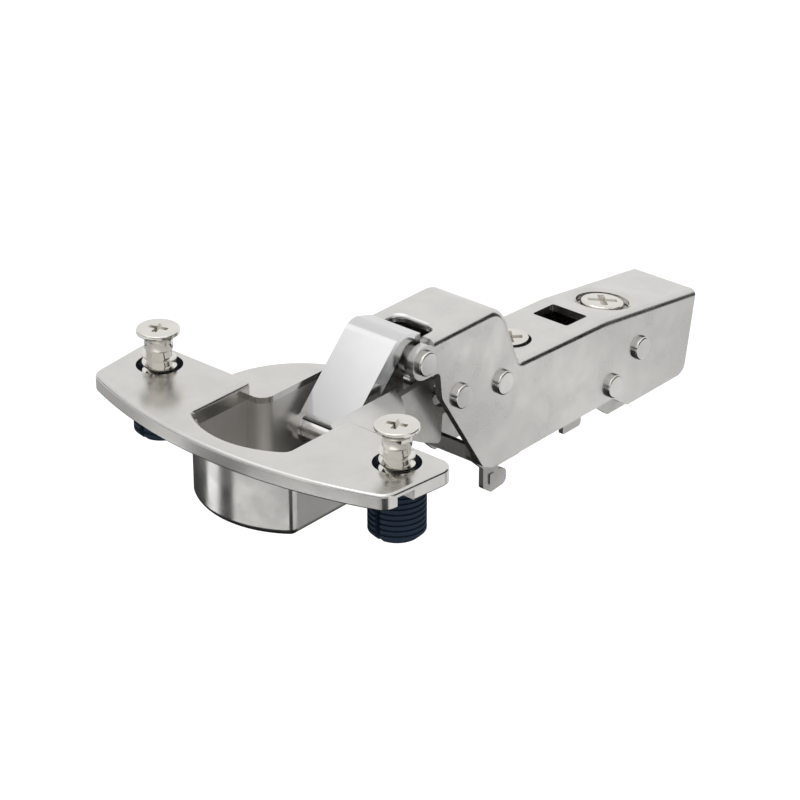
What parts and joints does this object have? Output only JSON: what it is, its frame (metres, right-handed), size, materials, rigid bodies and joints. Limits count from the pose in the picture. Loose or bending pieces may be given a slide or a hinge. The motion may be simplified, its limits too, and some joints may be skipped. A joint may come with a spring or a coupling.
{
  "type": "concealed cup hinge",
  "caption": "Concealed cabinet hinge with a round cup, crescent flange, raised fixing screws in ribbed dowels, polished link and cranked clip-on arm, shown open.",
  "frame": {"origin": "centre of the cup bore on the door's inner face, under the flange", "axes": "+Z away from the door along the cup's axis, +X from the cup towards the rear end of the arm, Y along the hinge's pins"},
  "size_m": [0.1213, 0.0668, 0.0396],
  "materials": {
    "nickel_sheet": "satin nickel plate on steel sheet",
    "nickel_casting": "satin nickel plate on a zinc casting",
    "bright_link": "polished nickel plate",
    "pin_steel": "plated rivet steel",
    "screw_steel": "nickel-plated screw",
    "spring_steel": "oiled spring wire",
    "dowel_plastic": "dark blue-black moulded plastic"
  },
  "bodies": {
    "clip": {"clip_frame": "nickel_sheet", "lever_pin": "pin_steel", "lever_spring": "spring_steel"},
    "lever": {"release_lever": "nickel_sheet"},
    "slider": {"adjuster_pin": "pin_steel"},
    "side_adjuster": {"side_screw": "screw_steel"},
    "arm": {"hinge_arm": "nickel_sheet", "arm_pin_front": "pin_steel", "arm_pin_middle": "pin_steel", "arm_pin_rear": "pin_steel", "stop_rivet": "pin_steel", "closing_spring": "spring_steel"},
    "depth_adjuster": {"depth_screw": "screw_steel"},
    "outer": {"outer_link": "bright_link"},
    "cup": {"hinge_cup": "nickel_casting", "cup_pin_outer": "pin_steel", "cup_pin_inner": "pin_steel", "dowel_left": "dowel_plastic", "dowel_right": "dowel_plastic"},
    "inner": {"inner_link": "nickel_sheet"},
    "screw_left": {"fixing_screw_left": "screw_steel"},
    "screw_right": {"fixing_screw_right": "screw_steel"}
  },
  "joints": [
    {"name": "release", "type": "hinge", "parent": "clip", "child": "lever", "pos_m": [0.0916, 0, -0.0202], "axis": [0, 1, 0], "range_deg": [0, 14], "stiffness_Nm_per_rad": 0.05, "springref_deg": -5.73},
    {"name": "depth_adjust", "type": "slide", "parent": "clip", "child": "slider", "axis": [1, 0, 0], "range_m": [-0.002, 0.003]},
    {"name": "side_adjust", "type": "hinge", "parent": "slider", "child": "arm", "pos_m": [0.0833, 0, -0.0165], "axis": [0, -1, 0], "range_deg": [-2.5, 2.5]},
    {"name": "side_screw_turn", "type": "hinge", "parent": "slider", "child": "side_adjuster", "pos_m": [0.0546, 0, -0.006], "axis": [0, 0, 1], "range_deg": [-460, 460]},
    {"name": "depth_screw_turn", "type": "hinge", "parent": "arm", "child": "depth_adjuster", "pos_m": [0.0816, 0, -0.00848], "axis": [0.1333, 0, 0.9911], "range_deg": [-145, 217]},
    {"name": "door_swing", "type": "hinge", "parent": "arm", "child": "outer", "pos_m": [0.0229, 0, 0.0032], "axis": [0, -1, 0], "range_deg": [0, 46]},
    {"name": "cup_turn", "type": "hinge", "parent": "outer", "child": "cup", "pos_m": [0.00685, 0, -0.00645], "axis": [0, 1, 0], "range_deg": [0, 136.1]},
    {"name": "inner_link_turn", "type": "hinge", "parent": "cup", "child": "inner", "pos_m": [0.01145, 0, -0.00825], "axis": [0, -1, 0], "range_deg": [0, 129.5]},
    {"name": "screw_left_drive", "type": "slide", "parent": "cup", "child": "screw_left", "axis": [0, 0, -1], "range_m": [0, 0.0067]},
    {"name": "screw_right_drive", "type": "slide", "parent": "cup", "child": "screw_right", "axis": [0, 0, -1], "range_m": [0, 0.0067]}
  ],
  "couplings": [
    {"joint": "cup_turn", "follows": "door_swing", "ratio": 2.9565},
    {"joint": "inner_link_turn", "follows": "door_swing", "ratio": 2.812},
    {"joint": "side_screw_turn", "follows": "side_adjust", "ratio": 182.2},
    {"joint": "depth_screw_turn", "follows": "depth_adjust", "rad_per_m": 1256.6}
  ]
}
